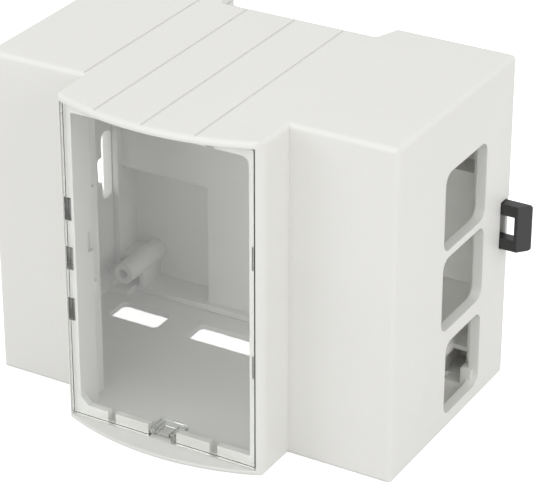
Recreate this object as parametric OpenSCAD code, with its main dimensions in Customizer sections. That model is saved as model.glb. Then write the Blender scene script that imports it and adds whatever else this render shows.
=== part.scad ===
// DIN rail enclosure: one moulded cover, a base that closes it from behind, a clear
// front panel and a sliding rail latch.
// X runs across the rail, Y runs from the front (-Y) to the rail, Z runs along the rail.
// The origin is the middle of the face that seats on the rail.

/* [Case] */
// Width across the rail
body_w = 90; // [84:1:96]
// Length along the rail, four modules
rail_len = 71; // [66:1:80]
// Width of the nose that stands through the panel cut-out
nose_w = 45; // [43:0.5:47]
// Rail seat to the shoulders
shoulder_d = 43.4; // [40:0.2:46]
// Rail seat to the corners of the nose
nose_d = 54.2; // [52:0.2:56]
// How far the two side walls crown in front of the nose corners
crown = 3.8; // [2:0.1:5]
// Depth of the feet behind the rail seat
foot_d = 5.5; // [5:0.1:7]

/* [Walls] */
// Thickness of the two side walls, across the rail
side_t = 1.3; // [1:0.1:2]
// Thickness of the two end walls, along the rail
end_t = 2.2; // [1.6:0.1:3]
// Thickness of the shoulders
shoulder_t = 2; // [1.5:0.1:3]
// Thickness of the nose walls behind the ledge
nose_t = 1.5; // [1.2:0.1:2]
// Radius of the outer edges
edge_r = 1; // [0.5:0.1:1.2]
// Radius of the nose corners, seen along the rail
nose_r = 3; // [2:0.5:4]

/* [Front panel] */
// Thickness of the clear panel
panel_t = 1.8; // [1.4:0.1:2]
// Width of the ledge beside the panel
ledge_w = 1.8; // [1.4:0.1:2.4]
// Height of the ledge at the side walls
ledge_h = 2.4; // [2:0.1:3]
// Gap round the panel
panel_gap = 0.2; // [0.15:0.05:0.3]

/* [Rail seat] */
// From the middle to the hooked end of the rail recess
hook_end = 18.3; // [18:0.1:19]
// From the middle to the latched end of the rail recess
latch_end = 19.4; // [19:0.1:20.5]
// Gap under the fixed hook, for the edge of the rail
hook_gap = 1.4; // [1.2:0.1:2]
// How far the hook reaches over the rail
hook_reach = 2.5; // [2:0.1:3]

/* [Base] */
// Thickness of the base
base_t = 1.9; // [1.5:0.1:2.2]
// Height of the rim in front of the rail seat
rim_d = 3.5; // [3:0.1:3.6]
// Outer radius of the board posts
post_r = 2.3; // [2:0.1:3]
// Radius of the screw holes in the posts
pilot_r = 1; // [0.8:0.05:1.3]
// Front of the posts, in front of the rail seat
post_d = 10.4; // [8:0.2:14]

/* [Latch] */
// Width of the latch
latch_w = 10; // [8:0.5:11]
// Thickness of the latch
latch_t = 2.4; // [2:0.1:2.6]
// How far the latch stands out of the end wall
latch_out = 5.8; // [4:0.2:8]

/* [Hidden] */
$fn = 64;
e = 1;                        // how far a cut runs past a face
half_w = body_w / 2;
half_l = rail_len / 2;
half_n = nose_w / 2;
in_w = half_w - end_t;        // inner face of the end walls
in_l = half_l - side_t;       // inner face of the side walls
in_n = half_n - nose_t;       // inner face of the nose walls
shoulder_in = shoulder_d - shoulder_t;

// The crown is an arc that runs smoothly into the two nose corners.
front_d = nose_d + crown;
corner_x = half_n - nose_r;
corner_d = nose_d - nose_r;
crown_r = (corner_x ^ 2 + (front_d - corner_d) ^ 2 - nose_r ^ 2) / (2 * crown);
crown_turn = asin(corner_x / (crown_r - nose_r));
lap = 0.03;                   // keeps the rounded rim clear of the flats of the crown

// Panel pocket, and the ledge round the window
pocket_x = half_n - 1.3;
pocket_d = nose_d - 0.5;
ledge_d = pocket_d - panel_t;
ledge_t = 1.5;
sill_x = pocket_x - ledge_w;
sill_z = in_l - ledge_h;
sill_bevel = 1.7;
jamb_d = shoulder_d + 2.3;    // rear edge of the thick part of the nose walls
jamb_steps = [[10.5, 13.5, 0.9], [-9.9, -7.2, 0.9]];
jamb_notch = [0.1, 4.5, 1.8];

// Slots in the ledge for the tabs of the panel
tab_len = 5;
tab_t = 1.2;
tabs_left = [-10.7, 0.5, 11.2];
tabs_right = [-12, 11.2];
pin_len = 1.7;
pins = [-12.2, 11.2];
catch_x = -0.5;
catch_len = 6.4;
tab_gap = 0.2;
tab_depth = 3.5;
catch_depth = 5;

// Openings in the walls
port_y = [-23.4, -5.6];
short_port_y = [-21, -5.6];
port_r = 2.4;
ports = [[-12.4, 3.7], [5.2, 22]];
short_port = [-32.1, -15.5];
slot_y = [-7.4, -3.7];
slot_z = [-12, 3.7];
slot_wide_y = [-9, -3.7];
slot_wide_z = [-7.7, -1.8];
vent_y = [-15.4, -8.6];
vent_r = 1.2;
vents = [[-37.3, -25], [-17.8, 17.8], [25, 37.3]];
score_x = -22.6;
score_pitch = 11;
score_w = 0.4;
score_d = 0.1;

// Rail recess
recess_r = 1.2;
recess_lean = 19;             // how far its latched end leans back, in degrees
lean_x = recess_r * cos(recess_lean);
lean_y = recess_r * (1 - sin(recess_lean));
recess_x = latch_end - lean_x - (foot_d - lean_y) * tan(recess_lean);
hook_t = 1.8;
hook_y = hook_gap + hook_t / 2;
relief_t = 0.3;               // depth of the reliefs in the seat

// Base
fit_gap = 0.1;
base_x = in_w - fit_gap;
base_z = in_l - fit_gap;
rim_t = 1.3;
floor_y = foot_d - base_t;    // inner face of the feet
band_z = 5.7;                 // half width of the raised band behind the hook
well_z = 11;                  // half width of the well behind the latch
well_x = [26, 40];
well_y = 0.3;
post_x = 36.2;
post_z = 26.5;
web_t = 1;
stop_w = 5;

// Latch
run_gap = 0.1;
latch_y = 2;
latch_z = latch_w / 2;
latch_back = latch_y + latch_t;
latch_end_x = half_w + latch_out;
bevel = 2.1;                  // slope on the outer end
tip_x = 13.6;
tip_y = 1.3;
tip_len = 6;
eye_x = [42.5, 48];
eye_z = 2.6;
arm_r = 8;
arm_t = 1;
arm_x = 34;
arm_turn = 62;

// Sweeps of a flat outline along each axis
module along_x(x0, x1)
    translate([x0, 0, 0]) rotate([90, 0, 90]) linear_extrude(x1 - x0) children();
module along_y(y0, y1)
    translate([0, y1, 0]) rotate([90, 0, 0]) linear_extrude(y1 - y0) children();
module along_z(z0, z1)
    translate([0, 0, z0]) linear_extrude(z1 - z0) children();

module block(x, y, z)
    translate([x[0], y[0], z[0]]) cube([x[1] - x[0], y[1] - y[0], z[1] - z[0]]);

// Rectangle between two spans, with round corners
module round_rect(u, v, r) {
    translate([u[0] + r, v[0]]) square([u[1] - u[0] - 2 * r, v[1] - v[0]]);
    translate([u[0], v[0] + r]) square([u[1] - u[0], v[1] - v[0] - 2 * r]);
    for (a = [u[0] + r, u[1] - r], b = [v[0] + r, v[1] - r]) translate([a, b]) circle(r);
}

// Drum along Z with its two rims rounded like the other outer edges
module drum(r)
    rotate_extrude() intersection() {
        round_rect([-r, r], [-half_l, half_l], edge_r);
        translate([0, -half_l]) square([r, rail_len]);
    }

// Outline of the rail recess, seen along the rail
module recess_outline() {
    back = foot_d + e;
    translate([recess_r - hook_end, recess_r]) circle(recess_r);
    translate([recess_x, recess_r]) circle(recess_r);
    translate([-hook_end, recess_r]) square([hook_end, back - recess_r]);
    polygon([
        [recess_r - hook_end, 0], [recess_x, 0],
        [recess_x + lean_x, lean_y],
        [recess_x + lean_x + (back - lean_y) * tan(recess_lean), back],
        [recess_r - hook_end, back]
    ]);
}

module body_skin()
    intersection() {
        along_x(-half_w, half_w)
            round_rect([-shoulder_d, 2 * foot_d], [-half_l, half_l], edge_r);
        along_y(-shoulder_d, foot_d)
            round_rect([-half_w, half_w], [-half_l, half_l], edge_r);
        along_z(-half_l, half_l)
            round_rect([-half_w, half_w], [-shoulder_d, 2 * foot_d], edge_r);
    }

// Points along an arc, from one angle to another
function arc(centre, r, from, to, steps) =
    [for (i = [0:steps]) let (a = from + (to - from) * i / steps) centre + r * [cos(a), sin(a)]];

// The nose, seen along the rail: round corners that run into the crown
module nose_outline()
    polygon(concat(
        [[-half_n, -shoulder_in], [half_n, -shoulder_in]],
        arc([corner_x, -corner_d], nose_r, 0, crown_turn - 90, 12),
        arc([0, crown_r - front_d], crown_r, crown_turn - 90, -crown_turn - 90, 28),
        arc([-corner_x, -corner_d], nose_r, -crown_turn - 90, -180, 12)
    ));

module nose_skin()
    intersection() {
        along_z(-half_l, half_l) nose_outline();
        along_y(-front_d - e, e - shoulder_in)
            round_rect([-half_n, half_n], [-half_l, half_l], edge_r);
        translate([0, crown_r - front_d, 0]) drum(crown_r + lap);
    }

// Hollow of the case, and the stepped window through the nose
module case_hollow() {
    block([-in_w, in_w], [-shoulder_in, foot_d + e], [-in_l, in_l]);
    block([-in_n, in_n], [-jamb_d, e - shoulder_in], [-in_l, in_l]);
    block([-sill_x, sill_x], [ledge_t - ledge_d, e - jamb_d], [-in_l, in_l]);
    along_y(-ledge_d - e, e + ledge_t - ledge_d) window_outline();
    block([-pocket_x, pocket_x], [-pocket_d - e, -ledge_d], [-in_l, in_l]);
    block([-half_n - e, half_n + e], [-front_d - e, -pocket_d], [-in_l, in_l]);
}

// Window inside the ledge: one corner is bevelled and the one across from it is round
module window_outline()
    difference() {
        translate([-sill_x, -sill_z]) square([2 * sill_x, 2 * sill_z]);
        polygon([
            [-sill_x, -sill_z], [sill_bevel - sill_x, -sill_z], [-sill_x, sill_bevel - sill_z]
        ]);
        translate([sill_x - sill_bevel, sill_z - sill_bevel]) difference() {
            square(sill_bevel);
            circle(sill_bevel);
        }
    }

module ledge_slots() {
    through = [-ledge_d - e, e - jamb_d];
    half_t = tab_len / 2;
    for (z = tabs_left) block([-pocket_x, tab_t - pocket_x], through, [z - half_t, z + half_t]);
    for (z = tabs_right) block([pocket_x - tab_t, pocket_x], through, [z - half_t, z + half_t]);
    for (x = pins) block([x - pin_len / 2, x + pin_len / 2], through, [-in_l, in_l]);
    block([catch_x - catch_len / 2, catch_x + catch_len / 2], through, [-in_l, in_l]);
}

// Teeth and a notch along the rear edge of each thick nose wall
module jamb_teeth()
    for (side = [-1, 1], step = jamb_steps)
        scale([side, 1, 1])
            block([sill_x, in_n + nose_t / 2], [-jamb_d, step[2] - jamb_d], [step[0], step[1]]);

module jamb_notches()
    for (side = [-1, 1])
        scale([side, 1, 1])
            block([0, in_n], [-jamb_d - jamb_notch[2], e - jamb_d], [jamb_notch[0], jamb_notch[1]]);

module wall_openings() {
    right = [in_w - e, half_w + e];
    for (z = ports) along_x(right[0], right[1]) round_rect(port_y, z, port_r);
    along_x(right[0], right[1]) round_rect(short_port_y, short_port, port_r);
    along_x(-right[1], -right[0]) {
        round_rect(slot_y, slot_z, 1.6);
        round_rect(slot_wide_y, slot_wide_z, 0.8);
    }
    for (x = vents) along_z(-half_l - e, e - in_l) round_rect(x, vent_y, vent_r);
    latch_gap = latch_z + 2 * run_gap;
    block(right, [latch_y - 2 * run_gap, foot_d + e], [-latch_gap, latch_gap]);
}

module score_lines()
    for (i = [0:3]) {
        x = score_x + i * score_pitch;
        block([x - score_w / 2, x + score_w / 2], [-front_d - e, e], [half_l - score_d, half_l + e]);
    }

// Blocks in the corners of the case that the rim of the base seats on
module base_stops()
    for (sx = [-1, 1], sz = [-1, 1])
        scale([sx, 1, sz]) {
            block([in_w - rim_t, in_w + e], [-rim_d - 3, -rim_d], [in_l - stop_w, in_l + side_t / 2]);
            block([in_w - stop_w, in_w + e], [-rim_d - 3, -rim_d], [in_l - rim_t, in_l + side_t / 2]);
        }

module cover()
    color("#dcdcd8") {
        difference() {
            union() {
                body_skin();
                nose_skin();
            }
            case_hollow();
            ledge_slots();
            jamb_notches();
            wall_openings();
            along_z(-half_l - e, half_l + e) recess_outline();
            score_lines();
        }
        jamb_teeth();
        base_stops();
    }

// Section of the base: seat, feet and the walls between them
module base_section()
    difference() {
        translate([-base_x, -base_t]) square([2 * base_x, foot_d + base_t]);
        recess_outline();
    }

module hook()
    along_z(-base_z, base_z) {
        tip = hook_reach - hook_end - hook_t / 2;
        translate([-hook_end - e / 2, hook_gap]) square([tip + hook_end + e / 2, hook_t]);
        translate([tip, hook_y]) circle(hook_t / 2);
    }

// Pockets in the feet, open to the front, on both sides of a raised band
module foot_pockets()
    for (sz = [-1, 1])
        scale([1, 1, sz]) {
            out = base_x - rim_t;
            end_z = base_z - rim_t;
            block([-out, -hook_end - base_t], [-base_t - e, floor_y], [band_z, end_z]);
            block([latch_end + base_t, out], [-base_t - e, floor_y], [well_z + rim_t, end_z]);
        }

module rim()
    difference() {
        block([-base_x, base_x], [-rim_d, -base_t], [-base_z, base_z]);
        block([rim_t - base_x, base_x - rim_t], [-rim_d - e, e - base_t],
              [rim_t - base_z, base_z - rim_t]);
    }

// Hollow on the back of the band, behind the hook
module hook_well() {
    z = band_z - rim_t;
    block([rim_t - base_x, -hook_end - base_t], [0, foot_d + e], [-z, z]);
}

// Shallow reliefs in the seat, under the hook and under the tongue of the latch
module seat_reliefs() {
    z = latch_z + 2 * run_gap;
    from = recess_r - hook_end - run_gap;
    block([from, hook_reach - hook_end + run_gap], [-relief_t, e], [-base_z - e, base_z + e]);
    block([tip_x - 2 * run_gap, latch_end + e], [-relief_t, e], [-z, z]);
}

// Channel of the latch, with a wider well for its two arms
module latch_channel() {
    z = latch_z + run_gap;
    block([recess_x - e, base_x + e], [well_y, foot_d + e], [-z, z]);
    block(well_x, [well_y, foot_d + e], [-well_z, well_z]);
}

// Rails under the latch, and the two bridges that hold it in
module latch_guides() {
    z = latch_z + run_gap;
    for (side = [-1, 1])
        scale([1, 1, side]) block([well_x[0], base_x], [0, latch_y - run_gap], [3, 4]);
    bridge = [latch_back + run_gap, foot_d];
    block([latch_end + base_t, well_x[0]], bridge, [-z - e, z + e]);
    block([well_x[1], base_x], bridge, [-z - e, z + e]);
    block([base_x - e, half_w - run_gap], bridge, [-latch_z, latch_z]);
}

module posts()
    for (sx = [-1, 1], sz = [-1, 1])
        scale([sx, 1, sz]) {
            translate([post_x, floor_y, post_z]) rotate([90, 0, 0])
                cylinder(r = post_r, h = post_d + floor_y);
            block([post_x, base_x], [-rim_d, floor_y], [post_z - web_t / 2, post_z + web_t / 2]);
            block([post_x - web_t / 2, post_x + web_t / 2], [-rim_d, floor_y], [post_z, base_z]);
        }

module pilot_holes()
    for (sx = [-1, 1], sz = [-1, 1])
        translate([sx * post_x, 0, sz * post_z]) rotate([90, 0, 0])
            cylinder(r = pilot_r, h = post_d + e);

module base_plate()
    color("#d4d4d0")
        difference() {
            union() {
                difference() {
                    along_z(-base_z, base_z) base_section();
                    foot_pockets();
                    hook_well();
                    seat_reliefs();
                    latch_channel();
                }
                rim();
                hook();
                latch_guides();
                posts();
            }
            pilot_holes();
        }

module front_panel()
    color("#e8f0ee", 0.4) {
        x = pocket_x - panel_gap;
        z = in_l - panel_gap;
        pull = [catch_x - 2.5, catch_x + 2.5];
        difference() {
            block([-x, x], [-pocket_d, -ledge_d], [-z, z]);
            block(pull, [-pocket_d - e, e - ledge_d], [-z - e, 0.9 - z]);
        }
        panel_tabs();
        for (side = [-1, 1]) scale([1, 1, side]) panel_catch();
    }

// Tabs that press into the slots of the ledge
module panel_tabs() {
    back = [-ledge_d - 0.5, tab_depth - ledge_d];
    half_t = tab_len / 2 - tab_gap;
    near = pocket_x - tab_t + tab_gap;
    far = pocket_x - panel_gap;
    for (z = tabs_left) block([-far, -near], back, [z - half_t, z + half_t]);
    for (z = tabs_right) block([near, far], back, [z - half_t, z + half_t]);
}

// Catch in the middle of a side: two legs joined by a bar
module panel_catch()
    difference() {
        half_c = catch_len / 2 - tab_gap;
        far = in_l - panel_gap;
        block([catch_x - half_c, catch_x + half_c], [-ledge_d - 0.5, catch_depth - ledge_d],
              [far - 1.4, far]);
        block([catch_x - 1.6, catch_x + 1.6], [-ledge_d, catch_depth - ledge_d - 1.2],
              [far - 2, far + e]);
    }

// Outline of the latch, seen along the rail: nose, tongue and sloped outer end
module latch_outline()
    polygon([
        [tip_x, tip_y], [tip_x + tip_len, tip_y], [tip_x + tip_len + 0.7, latch_y],
        [latch_end_x - bevel, latch_y], [latch_end_x, latch_back],
        [tip_x + 2.6, latch_back], [tip_x, latch_back - 1.8]
    ]);

module latch_arm()
    translate([arm_x, 0, latch_z + arm_r]) rotate([90, 0, 0])
        translate([0, 0, -latch_back]) linear_extrude(latch_t) intersection() {
            difference() {
                circle(arm_r + arm_t / 2);
                circle(arm_r - arm_t / 2);
            }
            polygon([
                [0, 0], [0, -2 * arm_r], [-3 * arm_r * sin(arm_turn / 2), -3 * arm_r * cos(arm_turn / 2)],
                [-2 * arm_r * sin(arm_turn), -2 * arm_r * cos(arm_turn)]
            ]);
        }

module rail_latch()
    color("#26262a") {
        difference() {
            intersection() {
                along_z(-latch_z, latch_z) latch_outline();
                along_y(0, foot_d)
                    round_rect([tip_x, latch_end_x], [-latch_z, latch_z], 0.6);
            }
            block(eye_x, [0, foot_d], [-eye_z, eye_z]);
        }
        for (side = [-1, 1]) scale([1, 1, side]) latch_arm();
    }

cover();
base_plate();
front_panel();
rail_latch();
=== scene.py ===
import math

import bpy
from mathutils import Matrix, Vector


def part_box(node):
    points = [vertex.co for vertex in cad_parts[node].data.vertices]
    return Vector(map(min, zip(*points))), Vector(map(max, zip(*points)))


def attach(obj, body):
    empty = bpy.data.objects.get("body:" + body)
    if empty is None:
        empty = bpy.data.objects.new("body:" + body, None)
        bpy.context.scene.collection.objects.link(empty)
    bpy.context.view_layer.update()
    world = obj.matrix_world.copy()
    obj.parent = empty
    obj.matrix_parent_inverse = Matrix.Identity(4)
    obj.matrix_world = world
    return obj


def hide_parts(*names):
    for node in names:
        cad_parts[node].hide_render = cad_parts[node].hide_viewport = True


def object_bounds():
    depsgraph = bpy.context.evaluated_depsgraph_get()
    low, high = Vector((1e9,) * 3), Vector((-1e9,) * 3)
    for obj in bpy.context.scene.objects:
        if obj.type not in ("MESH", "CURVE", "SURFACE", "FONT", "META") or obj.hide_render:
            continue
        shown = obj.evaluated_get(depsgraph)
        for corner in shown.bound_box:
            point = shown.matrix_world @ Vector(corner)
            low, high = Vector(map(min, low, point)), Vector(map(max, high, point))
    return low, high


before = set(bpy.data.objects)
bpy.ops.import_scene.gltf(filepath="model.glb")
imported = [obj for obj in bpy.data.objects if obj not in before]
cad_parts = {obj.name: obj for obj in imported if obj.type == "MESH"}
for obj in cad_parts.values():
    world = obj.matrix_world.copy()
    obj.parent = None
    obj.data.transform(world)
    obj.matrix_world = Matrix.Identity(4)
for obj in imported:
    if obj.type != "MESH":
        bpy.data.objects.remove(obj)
cadBox = [list(corner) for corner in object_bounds()]
scene = bpy.context.scene
print("frame loaded:", ", ".join(sorted(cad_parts)))


def addNode(tree, kind, place, **values):
    node = tree.nodes.new(kind)
    node.location = place
    for name, value in values.items():
        setattr(node, name, value)
    return node


def join(tree, source, output, target, into):
    tree.links.new(source.outputs[output], target.inputs[into])


def newMaterial(name):
    material = bpy.data.materials.new(name)
    material.use_nodes = True
    tree = material.node_tree
    for node in list(tree.nodes):
        tree.nodes.remove(node)
    out = addNode(tree, "ShaderNodeOutputMaterial", (900, 0))
    shader = addNode(tree, "ShaderNodeBsdfPrincipled", (560, 0))
    join(tree, shader, "BSDF", out, "Surface")
    return material, tree, shader, out


def newGroup(name, inputs, outputs):
    group = bpy.data.node_groups.new(name, "ShaderNodeTree")
    for title, kind, start in inputs:
        socket = group.interface.new_socket(title, in_out="INPUT", socket_type=kind)
        if start is not None:
            socket.default_value = start
    for title, kind in outputs:
        group.interface.new_socket(title, in_out="OUTPUT", socket_type=kind)
    start = addNode(group, "NodeGroupInput", (-900, 0))
    end = addNode(group, "NodeGroupOutput", (700, 0))
    return group, start, end


def placeGroup(tree, group, place, **values):
    node = addNode(tree, "ShaderNodeGroup", place, node_tree=group)
    for name, value in values.items():
        node.inputs[name].default_value = value
    return node


def paint(piece, material):
    piece.data.materials.clear()
    piece.data.materials.append(material)


def makeMouldGrain():
    # fine sparked texture that a steel mould leaves on the plastic
    group, start, end = newGroup(
        "mouldGrain",
        [("Size", "NodeSocketFloat", 0.0004), ("Swirl", "NodeSocketFloat", 0.004)],
        [("Height", "NodeSocketFloat"), ("Shine", "NodeSocketFloat")],
    )
    coords = addNode(group, "ShaderNodeTexCoord", (-900, 300))
    invert = addNode(group, "ShaderNodeMath", (-700, 100), operation="DIVIDE")
    invert.inputs[0].default_value = 1.0
    join(group, start, "Size", invert, 1)
    grain = addNode(group, "ShaderNodeTexNoise", (-460, 260), noise_dimensions="3D")
    grain.inputs["Detail"].default_value = 3.0
    grain.inputs["Roughness"].default_value = 0.6
    join(group, coords, "Object", grain, "Vector")
    join(group, invert, 0, grain, "Scale")
    pits = addNode(group, "ShaderNodeTexVoronoi", (-460, -40), feature="SMOOTH_F1")
    pits.inputs["Smoothness"].default_value = 0.6
    join(group, coords, "Object", pits, "Vector")
    join(group, invert, 0, pits, "Scale")
    height = addNode(group, "ShaderNodeMath", (-180, 140), operation="ADD")
    join(group, grain, "Fac", height, 0)
    join(group, pits, "Distance", height, 1)
    join(group, height, 0, end, "Height")
    slow = addNode(group, "ShaderNodeMath", (-700, -260), operation="DIVIDE")
    slow.inputs[0].default_value = 1.0
    join(group, start, "Swirl", slow, 1)
    swirl = addNode(group, "ShaderNodeTexNoise", (-460, -340), noise_dimensions="3D")
    swirl.inputs["Detail"].default_value = 4.0
    swirl.inputs["Distortion"].default_value = 0.8
    join(group, coords, "Object", swirl, "Vector")
    join(group, slow, 0, swirl, "Scale")
    join(group, swirl, "Fac", end, "Shine")
    return group


def makeToneDrift():
    # slow change of tone where the plastic flowed and cooled unevenly, and a faint dust of specks
    group, start, end = newGroup(
        "toneDrift",
        [("Color", "NodeSocketColor", (0.8, 0.8, 0.8, 1)), ("Drift", "NodeSocketFloat", 0.03),
         ("Specks", "NodeSocketFloat", 0.02), ("Span", "NodeSocketFloat", 0.03)],
        [("Color", "NodeSocketColor")],
    )
    coords = addNode(group, "ShaderNodeTexCoord", (-900, 300))
    invert = addNode(group, "ShaderNodeMath", (-700, 140), operation="DIVIDE")
    invert.inputs[0].default_value = 1.0
    join(group, start, "Span", invert, 1)
    cloud = addNode(group, "ShaderNodeTexNoise", (-520, 300), noise_dimensions="3D")
    cloud.inputs["Detail"].default_value = 5.0
    cloud.inputs["Distortion"].default_value = 1.2
    join(group, coords, "Object", cloud, "Vector")
    join(group, invert, 0, cloud, "Scale")
    driftRange = addNode(group, "ShaderNodeMath", (-300, 300), operation="SUBTRACT")
    driftRange.inputs[1].default_value = 0.5
    join(group, cloud, "Fac", driftRange, 0)
    drift = addNode(group, "ShaderNodeMath", (-120, 300), operation="MULTIPLY")
    join(group, driftRange, 0, drift, 0)
    join(group, start, "Drift", drift, 1)
    dots = addNode(group, "ShaderNodeTexNoise", (-520, -60), noise_dimensions="3D")
    dots.inputs["Scale"].default_value = 2600.0
    dots.inputs["Detail"].default_value = 2.0
    join(group, coords, "Object", dots, "Vector")
    speckRange = addNode(group, "ShaderNodeMath", (-300, -60), operation="SUBTRACT")
    speckRange.inputs[1].default_value = 0.5
    join(group, dots, "Fac", speckRange, 0)
    specks = addNode(group, "ShaderNodeMath", (-120, -60), operation="MULTIPLY")
    join(group, speckRange, 0, specks, 0)
    join(group, start, "Specks", specks, 1)
    both = addNode(group, "ShaderNodeMath", (60, 160), operation="ADD")
    join(group, drift, 0, both, 0)
    join(group, specks, 0, both, 1)
    level = addNode(group, "ShaderNodeMath", (220, 160), operation="ADD")
    level.inputs[1].default_value = 1.0
    join(group, both, 0, level, 0)
    scaled = addNode(group, "ShaderNodeVectorMath", (420, 0), operation="SCALE")
    join(group, start, "Color", scaled, 0)
    join(group, level, 0, scaled, "Scale")
    join(group, scaled, 0, end, "Color")
    return group


mouldGrain = makeMouldGrain()
toneDrift = makeToneDrift()
print("shared finishes ready")


def addMouldFinish(tree, shader, look):
    # uneven shine and the relief of the mould, the same way on every plastic
    grain = placeGroup(tree, mouldGrain, (-620, -160), Size=look["grain"], Swirl=look["swirl"])
    shine = addNode(tree, "ShaderNodeMapRange", (-300, 0))
    shine.inputs["To Min"].default_value = look["roughness"] - look["roughSpread"]
    shine.inputs["To Max"].default_value = look["roughness"] + look["roughSpread"]
    join(tree, grain, "Shine", shine, "Value")
    join(tree, shine, "Result", shader, "Roughness")
    relief = addNode(tree, "ShaderNodeBump", (60, -260))
    relief.inputs["Strength"].default_value = look["relief"]
    relief.inputs["Distance"].default_value = look["depth"]
    join(tree, grain, "Height", relief, "Height")
    join(tree, relief, "Normal", shader, "Normal")
    return relief


def mattPlastic(name, look):
    # opaque moulded plastic: drifting tone, grain in relief, softly broken edges
    material, tree, shader = newMaterial(name)[:3]
    tone = placeGroup(tree, toneDrift, (-300, 300), Color=(*look["colour"], 1), Drift=look["drift"],
                      Specks=look["specks"], Span=look["span"])
    join(tree, tone, "Color", shader, "Base Color")
    relief = addMouldFinish(tree, shader, look)
    edge = addNode(tree, "ShaderNodeBevel", (-300, -420), samples=8)
    edge.inputs["Radius"].default_value = look["edge"]
    join(tree, edge, "Normal", relief, "Normal")
    shader.inputs["IOR"].default_value = look["ior"]
    return material


coverLook = {
    "colour": (0.780, 0.776, 0.748),
    "drift": 0.05, "specks": 0.05, "span": 0.030,
    "grain": 0.00030, "swirl": 0.006,
    "roughness": 0.52, "roughSpread": 0.06,
    "relief": 0.16, "depth": 0.00004,
    "edge": 0.0003, "ior": 1.5,
}
baseLook = dict(coverLook, colour=(0.765, 0.761, 0.735), span=0.022, relief=0.05, specks=0.02)
latchLook = {
    "colour": (0.024, 0.0235, 0.0235),
    "drift": 0.20, "specks": 0.10, "span": 0.006,
    "grain": 0.00035, "swirl": 0.004,
    "roughness": 0.40, "roughSpread": 0.08,
    "relief": 0.45, "depth": 0.00005,
    "edge": 0.0003, "ior": 1.48,
}
paint(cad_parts["cover"], mattPlastic("coverPlastic", coverLook))
paint(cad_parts["base_plate"], mattPlastic("basePlastic", baseLook))
paint(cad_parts["rail_latch"], mattPlastic("latchPlastic", latchLook))

panelLook = {
    "colour": (0.970, 0.975, 0.968), "lampTint": (0.90, 0.92, 0.91),
    "roughness": 0.02, "roughSpread": 0.02, "swirl": 0.010, "grain": 0.0020,
    "relief": 0.05, "depth": 0.00002, "ior": 1.585,
    "thickness": 0.0018, "airGap": 0.00008, "softEdge": 0.00014, "snap": 0.00001,
}


def clearPlastic(name, look):
    # polished polycarbonate with the slight ripple of a moulded window
    material, tree, shader, out = newMaterial(name)
    shader.inputs["Base Color"].default_value = (*look["colour"], 1)
    shader.inputs["Transmission Weight"].default_value = 1.0
    shader.inputs["IOR"].default_value = look["ior"]
    addMouldFinish(tree, shader, look)
    # lamps reach what stands behind the panel
    path = addNode(tree, "ShaderNodeLightPath", (300, 420))
    through = addNode(tree, "ShaderNodeBsdfTransparent", (560, 300))
    through.inputs["Color"].default_value = (*look["lampTint"], 1)
    blend = addNode(tree, "ShaderNodeMixShader", (740, 120))
    join(tree, path, "Is Shadow Ray", blend, 0)
    join(tree, shader, "BSDF", blend, 1)
    join(tree, through, "BSDF", blend, 2)
    join(tree, blend, "Shader", out, "Surface")
    return material


def makePanel(look):
    # the moulded panel with its edges softened, a film of air off the ledge it lies on
    bpy.ops.object.select_all(action="DESELECT")
    panel = bpy.data.objects.new("clearPanel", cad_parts["front_panel"].data.copy())
    scene.collection.objects.link(panel)
    panel.select_set(True)
    bpy.context.view_layer.objects.active = panel
    bpy.ops.object.mode_set(mode="EDIT")
    bpy.ops.mesh.customdata_custom_splitnormals_clear()
    bpy.ops.mesh.select_all(action="SELECT")
    bpy.ops.mesh.remove_doubles(threshold=1e-6)
    bpy.ops.mesh.dissolve_limited(angle_limit=math.radians(1))
    bpy.ops.mesh.select_all(action="DESELECT")
    bpy.ops.object.mode_set(mode="OBJECT")
    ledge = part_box("front_panel")[0].y + look["thickness"]
    for point in panel.data.vertices:
        point.select = abs(point.co.y - ledge) < look["snap"]
    bpy.ops.object.mode_set(mode="EDIT")
    bpy.ops.transform.translate(value=(0, -look["airGap"], 0))
    bpy.ops.object.mode_set(mode="OBJECT")
    soft = panel.modifiers.new("softEdges", "BEVEL")
    soft.width = look["softEdge"]
    soft.segments = 2
    soft.limit_method = "ANGLE"
    soft.angle_limit = math.radians(40)
    bpy.ops.object.modifier_apply(modifier=soft.name)
    paint(panel, clearPlastic("panelPlastic", look))
    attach(panel, "panel")
    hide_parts("front_panel")
    print("panel made,", len(panel.data.polygons), "faces")


makePanel(panelLook)
print("materials dressed")


backdrop = {"floorSize": 6.0, "floorTone": 0.60, "seenFloor": 0.85, "seenSky": 1.0, "skyLight": 0.80}


def seenDirectly(tree, place):
    # 1 for rays from the camera, a mirror or a clear piece, 0 for the rest
    path = addNode(tree, "ShaderNodeLightPath", place)
    both = addNode(tree, "ShaderNodeMath", (place[0] + 200, place[1]), operation="MAXIMUM")
    join(tree, path, "Is Camera Ray", both, 0)
    join(tree, path, "Is Glossy Ray", both, 1)
    allRays = addNode(tree, "ShaderNodeMath", (place[0] + 380, place[1]), operation="MAXIMUM")
    join(tree, both, 0, allRays, 0)
    join(tree, path, "Is Transmission Ray", allRays, 1)
    return allRays


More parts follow.
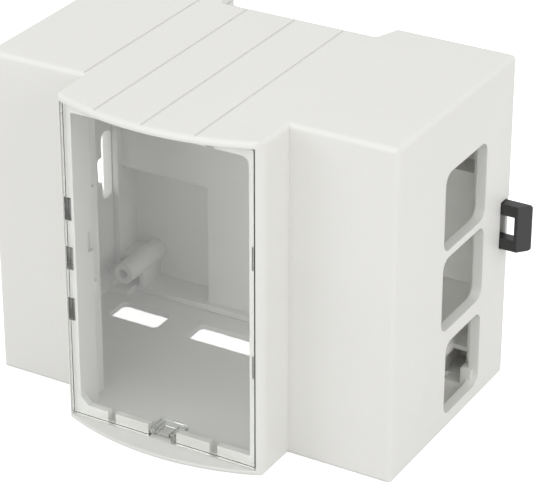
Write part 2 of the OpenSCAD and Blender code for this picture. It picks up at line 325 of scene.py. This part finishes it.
def makeFloor(look):
    low = cadBox[0][2]
    bpy.ops.object.select_all(action="DESELECT")
    bpy.ops.mesh.primitive_plane_add(size=look["floorSize"], location=(0, 0, low))
    floor = bpy.context.object
    floor.name = "floor"
    bpy.ops.object.transform_apply(location=True, rotation=True, scale=True)
    material, tree, shader = newMaterial("paleFloor")[:3]
    shader.inputs["Base Color"].default_value = (*[look["floorTone"]] * 3, 1)
    shader.inputs["Roughness"].default_value = 0.9
    shader.inputs["Specular IOR Level"].default_value = 0.0
    shader.inputs["Emission Color"].default_value = (1, 1, 1, 1)
    seen = seenDirectly(tree, (-300, -300))
    glow = addNode(tree, "ShaderNodeMath", (280, -300), operation="MULTIPLY")
    glow.inputs[1].default_value = look["seenFloor"]
    join(tree, seen, 0, glow, 0)
    join(tree, glow, 0, shader, "Emission Strength")
    floor.data.materials.append(material)


def makeSky(look):
    world = bpy.data.worlds.new("softBox")
    scene.world = world
    world.use_nodes = True
    tree = world.node_tree
    for node in list(tree.nodes):
        tree.nodes.remove(node)
    out = addNode(tree, "ShaderNodeOutputWorld", (900, 0))
    sky = addNode(tree, "ShaderNodeBackground", (700, 0))
    sky.inputs["Color"].default_value = (1, 1, 1, 1)
    seen = seenDirectly(tree, (-300, 0))
    strength = addNode(tree, "ShaderNodeMapRange", (300, 0))
    strength.inputs["To Min"].default_value = look["skyLight"]
    strength.inputs["To Max"].default_value = look["seenSky"]
    join(tree, seen, 0, strength, "Value")
    join(tree, strength, "Result", sky, "Strength")
    join(tree, sky, "Background", out, "Surface")


lamps = {
    # level 1 lights a surface that faces the lamp as strongly as a full white sky
    "topLight": {"place": (-0.10, -0.25, 0.85), "size": 0.60, "level": 0.05},
    "leftLight": {"place": (-0.65, -0.75, 0.40), "size": 0.55, "level": 0.14},
    "rightLight": {"place": (0.85, -0.25, 0.35), "size": 0.55, "level": 0.24},
    "frontLight": {"place": (0.05, -1.10, 0.35), "size": 0.50, "level": 0.12},
}
lampAim = Vector((0.0, -0.026, 0.0))


def addLamp(name, look):
    toAim = lampAim - Vector(look["place"])
    data = bpy.data.lights.new(name, "AREA")
    data.shape = "SQUARE"
    data.size = look["size"]
    data.energy = look["level"] * math.pi ** 2 * toAim.length ** 2
    lamp = bpy.data.objects.new(name, data)
    scene.collection.objects.link(lamp)
    lamp.location = look["place"]
    lamp.rotation_euler = toAim.to_track_quat("-Z", "Y").to_euler()


makeFloor(backdrop)
makeSky(backdrop)
for lampName, lampLook in lamps.items():
    addLamp(lampName, lampLook)
print("floor, sky and lamps ready")


cameraView = {
    "place": (0.2303, -0.4109, 0.2322),
    "direction": (-0.4432, 0.7673, -0.4635),
    "lens": 171.5,
    "sensor": 36.0,
}


def addCamera(view):
    data = bpy.data.cameras.new("viewCamera")
    data.sensor_width = view["sensor"]
    data.lens = view["lens"]
    data.clip_start = 0.01
    camera = bpy.data.objects.new("viewCamera", data)
    scene.collection.objects.link(camera)
    camera.location = view["place"]
    camera.rotation_euler = Vector(view["direction"]).to_track_quat("-Z", "Y").to_euler()
    scene.camera = camera


addCamera(cameraView)
scene.view_settings.view_transform = "Standard"
